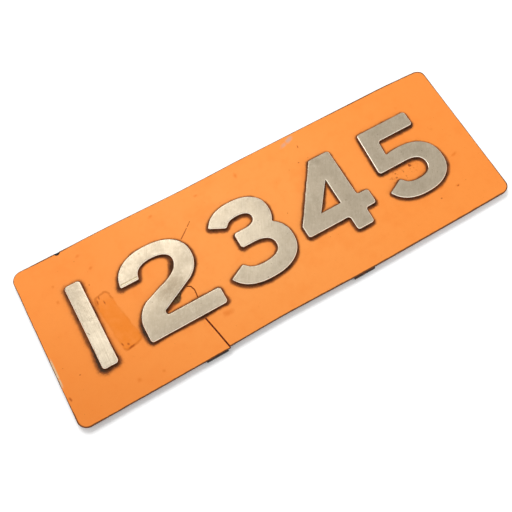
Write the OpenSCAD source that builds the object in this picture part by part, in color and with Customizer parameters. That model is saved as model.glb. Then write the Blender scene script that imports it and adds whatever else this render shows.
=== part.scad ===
// Number plate of a locomotive: raised metal numerals bedded on a painted board,
// with two flat steel straps across its back that carry it.
// Lengths are in millimetres. +X runs along the plate, +Y to its upper edge and +Z out of
// its face. The origin is under the middle of the board, on the plane of the straps' backs.

/* [Panel] */
// Length of the board
panel_l = 635; // [600:1:700]
// Height of the board
panel_h = 220; // [180:1:260]
// Thickness of the board
panel_t = 4; // [3:0.5:8]
// Radius of the board's corners
panel_corner_r = 13; // [3:0.5:30]

/* [Numerals] */
// Height of the numerals
numeral_h = 118; // [110:1:130]
// Thickness of the numerals
numeral_t = 4; // [3.5:0.5:8]
// How far the middle of the numerals stands above the middle of the board
numeral_lift = 1.3; // [-4:0.1:4]
// Width of the one
one_w = 21; // [18:0.5:26]
// Width of the two
two_w = 110; // [104:0.5:116]
// Width of the three
three_w = 102; // [96:0.5:108]
// Width of the four
four_w = 104; // [98:0.5:110]
// Width of the five
five_w = 101.5; // [96:0.5:108]
// Thickness of an upright stroke
side_stroke = 25.5; // [22:0.5:28]
// Thickness of a level stroke
flat_stroke = 22.5; // [18:0.5:24]
// Radius of the numerals' outer corners
numeral_corner_r = 4; // [1:0.5:5]
// Space between the one and the two
one_gap = 41.5; // [34:0.5:46]
// Space between the other numerals
numeral_gap = 15.5; // [10:0.5:20]

/* [Bedding] */
// Thickness of the mastic under a numeral
bedding_t = 0.8; // [0.5:0.1:2]
// Width of the bead that shows round a numeral
bedding_bead = 2.5; // [0.5:0.1:3]

/* [Straps] */
// Width of a strap
strap_w = 30; // [24:1:36]
// Thickness of a strap
strap_t = 6; // [5.5:0.5:10]
// How far a strap's ends stand out past the board's edges
strap_proud = 0.8; // [0:0.1:3]
// Centre of the left strap, along the plate
strap_left_x = -134.5; // [-140:0.5:-130]
// Centre of the right strap, along the plate
strap_right_x = 82.5; // [78:0.5:86]

/* [Mounting holes] */
// Diameter of the tapped holes in the straps
mount_hole_d = 5; // [4:0.1:7]
// Distance of a tapped hole from the board's edge
mount_edge = 18; // [12:0.5:24]

/* [Fasteners] */
// Diameter of a screw's thread
screw_d = 4; // [3:0.5:5]
// Diameter of a pan head
pan_head_d = 8; // [7:0.5:9.5]
// Height of a pan head
pan_head_h = 2.4; // [2:0.1:3]
// Length of a screw's thread inside a numeral
thread_l = 2.8; // [2:0.1:3]
// Diameter of a countersunk head
sunk_head_d = 7.6; // [6.5:0.1:9]
// Width of a screwdriver slot
slot_w = 1.2; // [0.8:0.1:1.6]
// Depth of a screwdriver slot
slot_depth = 1; // [0.6:0.1:1.2]
// Outer diameter of a plain washer
washer_d = 9; // [8:0.5:12]
// Thickness of a plain washer
washer_t = 0.8; // [0.6:0.1:1]
// Outer diameter of a spring washer
spring_washer_d = 7.6; // [7:0.1:10]
// Thickness of a spring washer
spring_washer_t = 0.9; // [0.7:0.1:1.2]
// Clearance all round a screw in the board, the mastic and the straps
hole_clearance = 0.25; // [0.1:0.05:0.4]
// Clearance all round a screw in a numeral
thread_clearance = 0.05; // [0.02:0.01:0.1]

/* [Damage] */
// Width of the crack in the board at its mouth
crack_w = 0.9; // [0.4:0.1:1.5]
// Width of the chip in the board's upper edge
chip_w = 6; // [2:0.5:8]
// Depth of the chip
chip_depth = 2; // [0.5:0.1:3]
// Distance of the chip from the board's left end
chip_x = 65; // [30:1:100]

/* [Hidden] */

$fn = 48;
cut_over = 1;                // how far a cut runs past the face that it opens

// Levels, counted up from the straps' backs
panel_z = strap_t;
face_z = panel_z + panel_t;
numeral_z = face_z + bedding_t;

// Numerals, counted from the left
ONE = 0;
TWO = 1;
THREE = 2;
FOUR = 3;
FIVE = 4;
numeral_ws = [one_w, two_w, three_w, four_w, five_w];
gaps_before = [0, one_gap, numeral_gap, numeral_gap, numeral_gap];
row_w = total(numeral_ws) + total(gaps_before);

// Drawing of the numerals
top_y = numeral_h / 2;
arc_step = 6;                // degrees between the points of an arc
squareness = 2.3;            // 2 draws the bowls as ellipses, more makes them squarer
corner_turn = 25;            // a point that turns by more degrees than this is a corner
same_point = 0.01;           // points closer than this are one
tip_l = numeral_corner_r + 1.5;  // straight stretch at the open end of a bowl

// Fastening
hole_d = screw_d + 2 * hole_clearance;
tapped_d = screw_d + 2 * thread_clearance;
washer_z = panel_z - washer_t;                   // back of a plain washer
seat_z = washer_z - spring_washer_t;             // back of a spring washer, where a head sits
tip_z = numeral_z + thread_l;                    // tips of all the screws
tapped_spare = 0.4;                              // depth of a tapped hole past the screw's tip
sunk_head_h = (sunk_head_d - screw_d) / 2;       // a cone of 90 degrees
sunk_clearance = 0.1;                            // gap all round a countersunk head
washer_play = 0.3;                               // play of a screw in a washer
washer_hole_d = screw_d + washer_play;
spring_slit_w = 1;                               // width of the slit in a spring washer
spring_slit_lean = 20;                           // its slant, in degrees
head_round = 1;                                  // radius of a pan head's edge
stroke_inset = 14;                               // distance of a screw from a stroke's end

function total(v, n = 0) = n >= len(v) ? 0 : v[n] + total(v, n + 1);
function upto(v, n) = n < 0 ? 0 : v[n] + upto(v, n - 1);

// Centre of a numeral along the plate. The row is centred on the board.
function numeral_x(i) =
    -row_w / 2 + upto(gaps_before, i) + upto(numeral_ws, i) - numeral_ws[i] / 2;
function numeral_at(i) = [numeral_x(i), numeral_lift];

// One coordinate of a squared ellipse, from a sine or cosine
function squared(s) = sign(s) * pow(abs(s), 2 / squareness);

// Points of a squared ellipse round centre c with radii r, between two angles
function arc(c, r, from, to) =
    let (steps = ceil(abs(to - from) / arc_step))
    [for (k = [0:steps]) let (t = from + (to - from) * k / steps)
        [c.x + r.x * squared(cos(t)), c.y + r.y * squared(sin(t))]];

// Points of a plain circle or ellipse between two angles
function plain_arc(c, r, from, to) =
    let (steps = ceil(abs(to - from) / arc_step))
    [for (k = [0:steps]) let (t = from + (to - from) * k / steps)
        [c.x + r.x * cos(t), c.y + r.y * sin(t)]];

function unit(v) = v / norm(v);
function left_of(v) = [-v.y, v.x];
function wrapped(pts, k) = pts[(k + len(pts)) % len(pts)];
function cross_z(a, b) = a.x * b.y - a.y * b.x;

// Signed turn of a closed outline at its point k, in degrees
function turn_at(pts, k) =
    let (
        a = wrapped(pts, k) - wrapped(pts, k - 1),
        b = wrapped(pts, k + 1) - wrapped(pts, k)
    )
    atan2(cross_z(a, b), a * b);

// The points of a closed outline without those that repeat the one before
function distinct(pts) =
    [for (k = [0:len(pts) - 1]) if (norm(pts[k] - wrapped(pts, k - 1)) > same_point) pts[k]];

// A closed outline with its sharp corners rounded to radius r
function softened(pts, r) = [for (k = [0:len(pts) - 1]) each
    let (
        p = pts[k],
        a = wrapped(pts, k - 1) - p,
        b = wrapped(pts, k + 1) - p,
        turn = turn_at(pts, k)
    )
    abs(turn) < corner_turn ? [p] :
    let (
        back = min(r * tan(abs(turn) / 2), 0.49 * norm(a), 0.49 * norm(b)),
        radius = back / tan(abs(turn) / 2),
        start = p + unit(a) * back,
        side = sign(turn),
        centre = start + side * radius * left_of(-unit(a)),
        steps = max(2, ceil(abs(turn) / 15))
    )
    [for (j = [0:steps]) let (t = turn * j / steps)
        centre + turned(start - centre, t)]];

function turned(v, t) = [v.x * cos(t) - v.y * sin(t), v.x * sin(t) + v.y * cos(t)];

function area_of(pts) =
    total([for (k = [0:len(pts) - 1]) cross_z(pts[k], wrapped(pts, k + 1)) / 2]);

// A closed outline moved outwards by d, or inwards where d is negative
function grown(pts, d) =
    d == 0 ? pts :
    let (out = area_of(pts) > 0 ? -1 : 1)
    [for (k = [0:len(pts) - 1])
        let (
            n1 = out * left_of(unit(pts[k] - wrapped(pts, k - 1))),
            n2 = out * left_of(unit(wrapped(pts, k + 1) - pts[k]))
        )
        pts[k] + d * (n1 + n2) / (1 + n1 * n2)];

// An open line made longer at its start, or at its end, along its own direction
function led_in(pts, l) = concat([pts[0] + l * unit(pts[0] - pts[1])], pts);
function led_out(pts, l) =
    let (n = len(pts) - 1)
    concat(pts, [pts[n] + l * unit(pts[n] - pts[n - 1])]);

// Where a squared ellipse reaches the level line at y on its right side, and the angle there
function reach(c, r, y) = c.x + r.x * pow(1 - pow(abs(y - c.y) / r.y, squareness), 1 / squareness);
function angle_up_to(c, r, y) = asin(sign(y - c.y) * pow(abs(y - c.y) / r.y, squareness / 2));

strokes = [side_stroke, flat_stroke];

// The two: bowl, sloping neck and foot in one outline
two_reach = 10;                              // how far the foot reaches past the bowl
two_bowl_r = [(two_w - two_reach) / 2, numeral_h * 0.314];
two_bowl_c = [-two_reach / 2, top_y - two_bowl_r.y];
two_foot_y = -top_y + flat_stroke;           // upper side of the foot
two_notch_r = 3.6;                           // radius of the notch between neck and foot
two_notch_c = [-0.14 * two_w, two_foot_y + two_notch_r];
two_notch_from = 117;                        // angle at which the notch begins
two_neck_r = [0.335 * two_w, numeral_h * 0.295];
two_neck_c = [two_bowl_c.x + two_bowl_r.x - two_neck_r.x, two_bowl_c.y];
two_neck_turn = 62;
two_heel_in = 3.3;                           // how far the heel stands in from the tip's side
two_heel_r = [0.27 * two_w, numeral_h * 0.275];
two_heel_c = [-two_w / 2 + two_heel_in + two_heel_r.x, -0.322 * numeral_h];
two_heel_turn = 105;                         // angle at which the heel runs into the neck
two_inner_r = two_bowl_r - strokes;
two_lift = 3.5;                              // how far the inner bowl's middle lies above the outer's
two_inner_c = two_bowl_c + [0, two_lift];
two_throat_r = [0.52 * two_w, numeral_h * 0.237];
two_throat_c = [two_inner_c.x + two_inner_r.x - two_throat_r.x, two_inner_c.y];
two_tip = 173;                               // angle at which the bowl's tip begins
two_tip_cut = 3;                             // how much shorter the tip is on its inner side

function two_outline() = concat(
    led_in(arc(two_bowl_c, two_bowl_r, two_tip, 0), tip_l),
    plain_arc(two_neck_c, two_neck_r, 0, -two_neck_turn),
    plain_arc(two_notch_c, [two_notch_r, two_notch_r], two_notch_from, 270),
    [[two_w / 2, two_foot_y], [two_w / 2, -top_y], [two_heel_c.x - two_heel_r.x, -top_y]],
    plain_arc(two_heel_c, two_heel_r, 180, two_heel_turn),
    plain_arc(two_throat_c, two_throat_r, -two_neck_turn, 0),
    arc(two_inner_c, two_inner_r, 0, 90),
    led_out(arc(two_bowl_c, two_inner_r + [0, two_lift], 90, two_tip), tip_l - two_tip_cut));

// The three: two bowls that share their middle stroke, in one outline
three_low_r = [three_w / 2, numeral_h * 0.32];
three_low_c = [0, -top_y + three_low_r.y];
three_high_r = [0.42 * three_w, (numeral_h + flat_stroke) / 2 - three_low_r.y];
three_high_c = [-0.015 * three_w, top_y - three_high_r.y];
three_tip = 152;                             // angle at which both bowls end
three_bar_y = three_low_c.y + three_low_r.y; // upper side of the middle stroke
three_bar_l = 17;                            // how far it reaches left of the middle

// Height at which the two bowls meet on the right, found by halving
function three_waist(low, high, halvings = 30) =
    let (y = (low + high) / 2)
    halvings == 0 ? y :
    reach(three_high_c, three_high_r, y) > reach(three_low_c, three_low_r, y)
        ? three_waist(low, y, halvings - 1) : three_waist(y, high, halvings - 1);

function three_outline() =
    let (waist = three_waist(three_bar_y - flat_stroke, three_bar_y))
    concat(
        led_in(arc(three_high_c, three_high_r, three_tip,
            angle_up_to(three_high_c, three_high_r, waist)), tip_l),
        led_out(arc(three_low_c, three_low_r,
            angle_up_to(three_low_c, three_low_r, waist), -three_tip), tip_l),
        led_in(arc(three_low_c, three_low_r - strokes, -three_tip, 90), tip_l),
        [[-three_bar_l, three_bar_y - flat_stroke], [-three_bar_l, three_bar_y]],
        led_out(arc(three_high_c, three_high_r - strokes, -90, three_tip), tip_l));

// The four: a stem, a bar across it and a sloping stroke round a closed counter
four_stem_x = 0.095 * four_w;                // left side of the stem
four_bar_y = -0.317 * numeral_h;             // underside of the bar
four_toe_y = four_bar_y + 0.8 * flat_stroke; // where the slope's outer side ends on the left
four_brow_x = 0.04 * four_w;                 // where the sloping side meets the top
four_counter_top = 0.2 * numeral_h;
four_counter_l = 0.29 * four_w;

function four_outline() =
    let (l = -four_w / 2, r = four_w / 2, s = four_stem_x, e = four_stem_x + side_stroke)
    [
        [four_brow_x, top_y], [e, top_y], [e, four_bar_y + flat_stroke],
        [r, four_bar_y + flat_stroke], [r, four_bar_y], [e, four_bar_y], [e, -top_y],
        [s, -top_y], [s, four_bar_y], [l, four_bar_y], [l, four_toe_y]
    ];

function four_counter() = [
    [four_stem_x, four_counter_top],
    [four_stem_x - four_counter_l, four_bar_y + flat_stroke],
    [four_stem_x, four_bar_y + flat_stroke]];

// The five: a cap, a stem and an open bowl in one outline
five_bowl_r = [0.47 * five_w, numeral_h * 0.32];
five_bowl_c = [five_w / 2 - five_bowl_r.x, -top_y + five_bowl_r.y];
five_inner_r = five_bowl_r - strokes;
five_stem_x = -0.36 * five_w;                // left side of the stem at its top
five_stem_lean = 4;                          // how far its foot stands further left
five_stem_w = 0.85 * side_stroke;
five_cap_end = 0.41 * five_w;
five_tip = -152;                             // angle at which the bowl ends

// Angle on a squared ellipse at which it crosses the upright line at x, on its upper side
function angle_at(c, r, x) = acos(sign(x - c.x) * pow(abs(x - c.x) / r.x, squareness / 2));

function five_outline() =
    let (neck_x = five_stem_x + five_stem_w - five_stem_lean / 2)
    concat(
        [[five_stem_x - five_stem_lean, five_bowl_c.y + five_inner_r.y],
            [five_stem_x, top_y], [five_cap_end, top_y], [five_cap_end, top_y - flat_stroke],
            [five_stem_x + five_stem_w, top_y - flat_stroke]],
        led_out(arc(five_bowl_c, five_bowl_r, angle_at(five_bowl_c, five_bowl_r, neck_x), five_tip),
            tip_l),
        led_in(arc(five_bowl_c, five_inner_r, five_tip, 90), tip_l));

// The one: a plain bar
function one_outline() = [
    [-one_w / 2, -top_y], [one_w / 2, -top_y], [one_w / 2, top_y], [-one_w / 2, top_y]];

function outline_of(i) =
    i == ONE ? one_outline() :
    i == TWO ? two_outline() :
    i == THREE ? three_outline() :
    i == FOUR ? four_outline() : five_outline();

// The flat shape of a numeral, moved outwards by d
module numeral_shape(i, d) {
    translate(numeral_at(i)) difference() {
        polygon(softened(grown(distinct(outline_of(i)), d), numeral_corner_r + d));
        if (i == FOUR) polygon(grown(four_counter(), -d));
    }
}

// Middle of a bowl's stroke at an angle, and at an upright line through it
function mid_stroke(c, r, angle) =
    c + [(r.x - side_stroke / 2) * squared(cos(angle)), (r.y - flat_stroke / 2) * squared(sin(angle))];
function height_at(c, r, x) = c.y + r.y * pow(1 - pow(abs(x - c.x) / r.x, squareness), 1 / squareness);

// Middle of the two's bowl above the point x of its foot
function two_crown(x) =
    (height_at(two_bowl_c, two_bowl_r, x) + height_at(two_inner_c, two_inner_r, x)) / 2;

// Middle of the four's sloping stroke at x
function between(x, a, b) = a.y + (b.y - a.y) * (x - a.x) / (b.x - a.x);
function four_slope(x) =
    let (low = [-four_w / 2, four_toe_y], brow = [four_brow_x, top_y])
    (between(x, low, brow) + between(x, four_counter()[1], four_counter()[0])) / 2;

// Points where pan head screws hold a numeral, from the numeral's middle
function screw_spots(i) =
    let (level_y = top_y - flat_stroke / 2, end_y = top_y - stroke_inset)
    i == ONE ? [[0, end_y], [0, -end_y]] :
    i == TWO ? [mid_stroke(two_bowl_c, two_bowl_r, 160), [-two_w / 2 + stroke_inset, -level_y]] :
    i == THREE ? [
        [three_high_c.x, level_y], [three_low_c.x, -level_y],
        [three_low_r.x / 2, three_bar_y - flat_stroke / 2]] :
    i == FOUR ? [
        [four_stem_x + side_stroke / 2, end_y], [four_stem_x + side_stroke / 2, -end_y]] :
    [
        [five_cap_end - stroke_inset, level_y], [five_bowl_c.x, -level_y],
        [five_stem_x + five_stem_w / 2 - five_stem_lean / 2,
            five_bowl_c.y + five_inner_r.y + stroke_inset]];

// Points where countersunk screws hold a numeral through a strap, from the numeral's middle
function strap_spots(i) =
    i == TWO ?
        let (x = strap_left_x - numeral_x(TWO))
        [[x, two_crown(x)], [x, -top_y + flat_stroke / 2]] :
    i == FOUR ?
        let (x = strap_right_x - numeral_x(FOUR))
        [[x, four_slope(x)], [x, four_bar_y + flat_stroke / 2]] : [];

module at_screws(i) {
    for (p = screw_spots(i)) translate(numeral_at(i) + p) children();
}

module at_strap_screws(i) {
    for (p = strap_spots(i)) translate(numeral_at(i) + p) children();
}

module rod(d, from, to) {
    translate([0, 0, from]) cylinder(d = d, h = to - from);
}

// Board

crack_end_w = 0.4;
crack_mouth = 0.274;         // its place along the lower edge, as a share of the two's width
// The crack's bends, from the two's middle, as shares of the two's width and height
crack_bends = [
    [0.227, -0.719], [0.179, -0.507], [0.224, -0.278],
    [0.232, -0.197], [0.212, -0.147], [0.164, -0.121]
];

function crack_path() = concat(
    [[numeral_x(TWO) + crack_mouth * two_w, -panel_h / 2 - cut_over]],
    [for (p = crack_bends) numeral_at(TWO) + [p.x * two_w, p.y * numeral_h]]);

// Outline of a line that narrows evenly from its first point to its last
function ribbon(path, w_start, w_end) =
    let (
        last = len(path) - 1,
        sides = [for (k = [0:last])
            let (
                along = unit(path[min(k + 1, last)] - path[max(k - 1, 0)]),
                half = (w_start + (w_end - w_start) * k / last) / 2
            )
            half * left_of(along)]
    )
    concat(
        [for (k = [0:last]) path[k] + sides[k]],
        [for (k = [last:-1:0]) path[k] - sides[k]]);

module rounded_board() {
    inner = [panel_l - 2 * panel_corner_r, panel_h - 2 * panel_corner_r];
    square([inner.x, panel_h], center = true);
    square([panel_l, inner.y], center = true);
    for (x = [-1, 1], y = [-1, 1])
        translate([x * inner.x / 2, y * inner.y / 2]) circle(r = panel_corner_r);
}

// A shallow round bite out of the face's upper edge
module chip() {
    r = (pow(chip_w / 2, 2) + pow(chip_depth, 2)) / (2 * chip_depth);
    translate([-panel_l / 2 + chip_x, panel_h / 2 + r - chip_depth])
        rod(2 * r, panel_z + panel_t / 2, face_z + cut_over);
}

module face_panel() {
    color([0.97, 0.60, 0.28]) difference() {
        translate([0, 0, panel_z]) linear_extrude(height = panel_t) rounded_board();
        translate([0, 0, panel_z - cut_over])
            linear_extrude(height = panel_t + 2 * cut_over)
                polygon(ribbon(crack_path(), crack_w, crack_end_w));
        chip();
        for (i = [ONE:FIVE]) {
            at_screws(i) rod(hole_d, panel_z - cut_over, face_z + cut_over);
            at_strap_screws(i) rod(hole_d, panel_z - cut_over, face_z + cut_over);
        }
    }
}

// Straps

module countersink() {
    mouth_d = sunk_head_d + 2 * sunk_clearance;
    depth = (mouth_d - hole_d) / 2;
    cylinder(d1 = mouth_d, d2 = hole_d, h = depth);
    rod(mouth_d, -cut_over, 0);
}

module strap(x, numeral) {
    color([0.10, 0.09, 0.09]) difference() {
        translate([x - strap_w / 2, -panel_h / 2 - strap_proud, 0])
            cube([strap_w, panel_h + 2 * strap_proud, strap_t]);
        for (side = [-1, 1])
            translate([x, side * (panel_h / 2 - mount_edge)])
                rod(mount_hole_d, -cut_over, strap_t + cut_over);
        at_strap_screws(numeral) {
            rod(hole_d, -cut_over, strap_t + cut_over);
            countersink();
        }
    }
}

module strap_left() { strap(strap_left_x, TWO); }
module strap_right() { strap(strap_right_x, FOUR); }

// Numerals

module tapped_hole() {
    rod(tapped_d, numeral_z - cut_over, tip_z + tapped_spare);
}

module numeral(i) {
    color([0.83, 0.77, 0.68]) difference() {
        translate([0, 0, numeral_z]) linear_extrude(height = numeral_t) numeral_shape(i, 0);
        at_screws(i) tapped_hole();
        at_strap_screws(i) tapped_hole();
    }
}

module numeral_one() { numeral(ONE); }
module numeral_two() { numeral(TWO); }
module numeral_three() { numeral(THREE); }
module numeral_four() { numeral(FOUR); }
module numeral_five() { numeral(FIVE); }

// Bedding

module bedding(i) {
    color([0.16, 0.11, 0.08]) difference() {
        translate([0, 0, face_z])
            linear_extrude(height = bedding_t) numeral_shape(i, bedding_bead);
        at_screws(i) rod(hole_d, face_z - cut_over, numeral_z + cut_over);
        at_strap_screws(i) rod(hole_d, face_z - cut_over, numeral_z + cut_over);
    }
}

module bedding_one() { bedding(ONE); }
module bedding_two() { bedding(TWO); }
module bedding_three() { bedding(THREE); }
module bedding_four() { bedding(FOUR); }
module bedding_five() { bedding(FIVE); }

// Fasteners

module slot(head_d) {
    translate([-head_d, -slot_w / 2, -cut_over])
        cube([2 * head_d, slot_w, slot_depth + cut_over]);
}

// Half of a pan head's outline, from its slotted end up to its seat
module pan_profile() {
    r = pan_head_d / 2;
    difference() {
        square([r, pan_head_h]);
        translate([r - head_round, 0]) difference() {
            translate([0, -cut_over]) square([head_round + cut_over, head_round + cut_over]);
            translate([0, head_round]) circle(r = head_round);
        }
    }
}

module pan_screw() {
    head_z = seat_z - pan_head_h;
    difference() {
        union() {
            translate([0, 0, head_z]) rotate_extrude() pan_profile();
            rod(screw_d, head_z + pan_head_h / 2, tip_z);
        }
        translate([0, 0, head_z]) slot(pan_head_d);
    }
}

module screws(i) {
    color([0.62, 0.60, 0.57]) at_screws(i) pan_screw();
}

module screws_one() { screws(ONE); }
module screws_two() { screws(TWO); }
module screws_three() { screws(THREE); }
module screws_four() { screws(FOUR); }
module screws_five() { screws(FIVE); }

module ring(outer_d, from, to) {
    difference() {
        rod(outer_d, from, to);
        rod(washer_hole_d, from - cut_over, to + cut_over);
    }
}

module washers(i) {
    color([0.66, 0.64, 0.60]) at_screws(i) ring(washer_d, washer_z, panel_z);
}

module washers_one() { washers(ONE); }
module washers_two() { washers(TWO); }
module washers_three() { washers(THREE); }
module washers_four() { washers(FOUR); }
module washers_five() { washers(FIVE); }

module spring_washer() {
    difference() {
        ring(spring_washer_d, seat_z, washer_z);
        translate([0, 0, (seat_z + washer_z) / 2]) rotate([spring_slit_lean, 0, 0])
            translate([0, -spring_slit_w / 2, -spring_washer_d / 2])
                cube([spring_washer_d, spring_slit_w, spring_washer_d]);
    }
}

module spring_washers(i) {
    color([0.50, 0.48, 0.46]) at_screws(i) spring_washer();
}

module spring_washers_one() { spring_washers(ONE); }
module spring_washers_two() { spring_washers(TWO); }
module spring_washers_three() { spring_washers(THREE); }
module spring_washers_four() { spring_washers(FOUR); }
module spring_washers_five() { spring_washers(FIVE); }

module sunk_screw() {
    difference() {
        union() {
            cylinder(d1 = sunk_head_d, d2 = screw_d, h = sunk_head_h);
            rod(screw_d, sunk_head_h / 2, tip_z);
        }
        slot(sunk_head_d);
    }
}

module strap_screws(i) {
    color([0.55, 0.53, 0.50]) at_strap_screws(i) sunk_screw();
}

module strap_screws_left() { strap_screws(TWO); }
module strap_screws_right() { strap_screws(FOUR); }

face_panel();
strap_left();
strap_right();
numeral_one();
numeral_two();
numeral_three();
numeral_four();
numeral_five();
bedding_one();
bedding_two();
bedding_three();
bedding_four();
bedding_five();
screws_one();
screws_two();
screws_three();
screws_four();
screws_five();
washers_one();
washers_two();
washers_three();
washers_four();
washers_five();
spring_washers_one();
spring_washers_two();
spring_washers_three();
spring_washers_four();
spring_washers_five();
strap_screws_left();
strap_screws_right();
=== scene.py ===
import math

import bmesh
import bpy
import numpy as np
from mathutils import Matrix, Vector, noise
from mathutils.geometry import delaunay_2d_cdt
from mathutils.kdtree import KDTree


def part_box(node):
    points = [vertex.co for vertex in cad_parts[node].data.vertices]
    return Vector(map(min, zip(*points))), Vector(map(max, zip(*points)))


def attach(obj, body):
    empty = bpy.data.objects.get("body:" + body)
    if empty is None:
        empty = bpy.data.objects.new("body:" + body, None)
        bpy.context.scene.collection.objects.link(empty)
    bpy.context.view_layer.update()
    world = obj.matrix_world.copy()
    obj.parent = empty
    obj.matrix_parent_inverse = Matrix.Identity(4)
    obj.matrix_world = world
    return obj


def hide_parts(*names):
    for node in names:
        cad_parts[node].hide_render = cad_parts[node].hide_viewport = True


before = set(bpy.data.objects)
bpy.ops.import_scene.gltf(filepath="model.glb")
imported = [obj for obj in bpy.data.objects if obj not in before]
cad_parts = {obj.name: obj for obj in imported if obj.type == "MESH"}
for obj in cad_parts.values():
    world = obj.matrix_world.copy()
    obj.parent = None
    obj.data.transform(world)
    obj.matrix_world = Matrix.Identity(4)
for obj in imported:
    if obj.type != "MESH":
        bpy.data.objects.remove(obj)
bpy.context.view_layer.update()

MM = 0.001
COUNTS = ("one", "two", "three", "four", "five")


def levels(node):
    """The lowest and the highest level of a CAD node, in mm."""
    low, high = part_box(node)
    return low[2] / MM, high[2] / MM


# All shapes below are in mm
BOARD_BACK, BOARD_FACE = levels("face_panel")
NUMERAL_FOOT, NUMERAL_FACE = levels("numeral_one")

# The board's outline, its crack, the chip in its upper edge and the hairline on its paint
HALF_L, HALF_H, CORNER = 317.5, 110.0, 13.0
CRACK = ((-115.6, -110), (-120.8, -83.5), (-126.1, -58.5), (-121.1, -31.5),
         (-120.2, -22), (-122.4, -16), (-127.7, -13))
CRACK_MOUTH, CRACK_TIP = 0.6, 0.3
CHIP_X, CHIP_W, CHIP_DEPTH = -252.5, 6.0, 2.0
HAIRLINE = ((-103.4, 46.9), (-94.6, 53.5), (-82.8, 63.1))

# How far the board's worn long edges sag inwards: humps of a depth, a middle and a reach
UPPER_SAGS = ((1.2, -75, 115), (1.9, HALF_L, 80), (-0.6, -290, 130))
LOWER_SAGS = ((0.8, HALF_L, 120),)
SAGS_PAST_CRACK = ((2.7, -50, 165),)
LOWER_SAG, END_SAG = 0.3, 0.2
MOST_OUT = 0.7        # the upper edge stands out no more than this, inside the CAD box
# How uneven the edges are: layers of lumps, each with its depth, size and seed
EDGE_LUMPS = ((0.16, 21, 1), (0.1, 6, 2))
END_LUMPS = ((0.2, 17, 3),)
CRACK_LUMPS = ((0.12, 4, 4),)

# How far in the board's rim is at each level, below and in the chip and the crack's mouth
RIM_BELOW = ((0.35, BOARD_BACK), (0.1, BOARD_BACK + 0.1), (0.0, BOARD_BACK + 0.35),
             (0.0, BOARD_FACE - 1.3))
RIM_ABOVE = ((0.0, BOARD_FACE - 0.4), (0.06, BOARD_FACE - 0.2), (0.16, BOARD_FACE - 0.05),
             (0.3, BOARD_FACE))

# Distances between the points on outlines and inside flat faces
BOARD_STEP, BOARD_GRID = 1.5, 3.0
NUMERAL_STEP, NUMERAL_GRID, RIDGE_STEP = 1.2, 4.0, 1.5
# Rows of points on the board's face, in from its rim and out from the mastic
RIM_ROWS, MASTIC_ROWS = (0.6, 1.3), (0.4, 1.1, 2.0, 3.2, 4.6)

# How far wear reaches in from the board's rim and the numerals' edges, grime and painted shade out
# from the mastic, and dirt out from the crack
EDGE_REACH, RUB_REACH, GRIME_AND_SHADE_REACH, LIP_REACH = 2.0, 3.0, 1.7, 1.4

# The end of the two's bowl is ground down to a slope, from a ridge to its tip
RIDGE_Y, RIDGE_SLOPE, RIDGE_X = 28.0, 0.1, (-205.0, -169.0)


# Outlines


def outlines(node, level):
    """Closed outlines of a node's flat face at a level, with the solid on their left."""
    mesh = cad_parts[node].data
    points = [tuple(round(c / MM, 3) for c in v.co) for v in mesh.vertices]
    onward = {}
    for face in mesh.polygons:
        ring = [points[i] for i in face.vertices]
        if all(abs(p[2] - level) < 0.01 for p in ring):
            for a, b in zip(ring, ring[1:] + ring[:1]):
                onward[(a[:2], b[:2])] = True
    rim = {a: b for a, b in onward if (b, a) not in onward}
    loops = []
    while rim:
        start = next(iter(rim))
        loop, here = [], start
        while here in rim:
            loop.append(Vector(here))
            here = rim.pop(here)
        loops.append(loop)
    return sorted(loops, key=area, reverse=True)


def area(loop):
    return sum(a.x * b.y - a.y * b.x for a, b in zip(loop, loop[1:] + loop[:1])) / 2


def refined(loop, step, corner=math.radians(30), longer=3):
    """An outline with points no further apart than step, and its bends drawn as curves.
    A turn sharper than corner stays one, and an edge so many times longer than the next one
    stays straight up to its end."""
    n = len(loop)
    edges = [loop[(k + 1) % n] - loop[k] for k in range(n)]
    ways_in, ways_out = [], []
    for k in range(n):
        before, after = edges[k - 1], edges[k]
        if before.angle(after) > corner:
            ways_in.append(before.normalized())
            ways_out.append(after.normalized())
            continue
        if before.length > longer * after.length:
            way = before
        elif after.length > longer * before.length:
            way = after
        else:
            way = before / before.length_squared + after / after.length_squared
        ways_in.append(way.normalized())
        ways_out.append(way.normalized())
    out = []
    for k in range(n):
        p, q = loop[k], loop[(k + 1) % n]
        l = edges[k].length
        m0, m1 = ways_out[k] * l, ways_in[(k + 1) % n] * l
        steps = max(1, math.ceil(l / step))
        for j in range(steps):
            t = j / steps
            out.append(
                (2 * t**3 - 3 * t**2 + 1) * p + (t**3 - 2 * t**2 + t) * m0
                + (3 * t**2 - 2 * t**3) * q + (t**3 - t**2) * m1
            )
    return out


def inset(loop, distance):
    """An outline moved to its left, into the solid, by a distance or by one for each point."""
    n = len(loop)
    if not hasattr(distance, "__len__"):
        distance = [distance] * n
    out = []
    for k in range(n):
        a = (loop[k] - loop[k - 1]).normalized()
        b = (loop[(k + 1) % n] - loop[k]).normalized()
        left = Vector((-a.y - b.y, a.x + b.x))
        out.append(loop[k] + left * (distance[k] / max(0.5, left.length_squared / 2)))
    return out


def inside(points, loops):
    """Which points lie inside the outlines, by counting crossings."""
    x, y = points[:, 0], points[:, 1]
    odd = np.zeros(len(points), bool)
    for loop in loops:
        for a, b in zip(loop, loop[1:] + loop[:1]):
            if a.y != b.y:
                spans = (a.y > y) != (b.y > y)
                odd ^= spans & (x < (b.x - a.x) * (y - a.y) / (b.y - a.y) + a.x)
    return odd


def within(points, loops):
    """The points that lie inside the outlines."""
    return [p for p, kept in zip(points, inside(np.array(points), loops)) if kept]


def tree_of(points):
    tree = KDTree(len(points))
    for k, p in enumerate(points):
        tree.insert((p[0], p[1], 0), k)
    tree.balance()
    return tree


def away_from(tree, p):
    """How far a place is from the nearest point of a tree, seen from above."""
    return tree.find((p[0], p[1], 0))[2]


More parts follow.
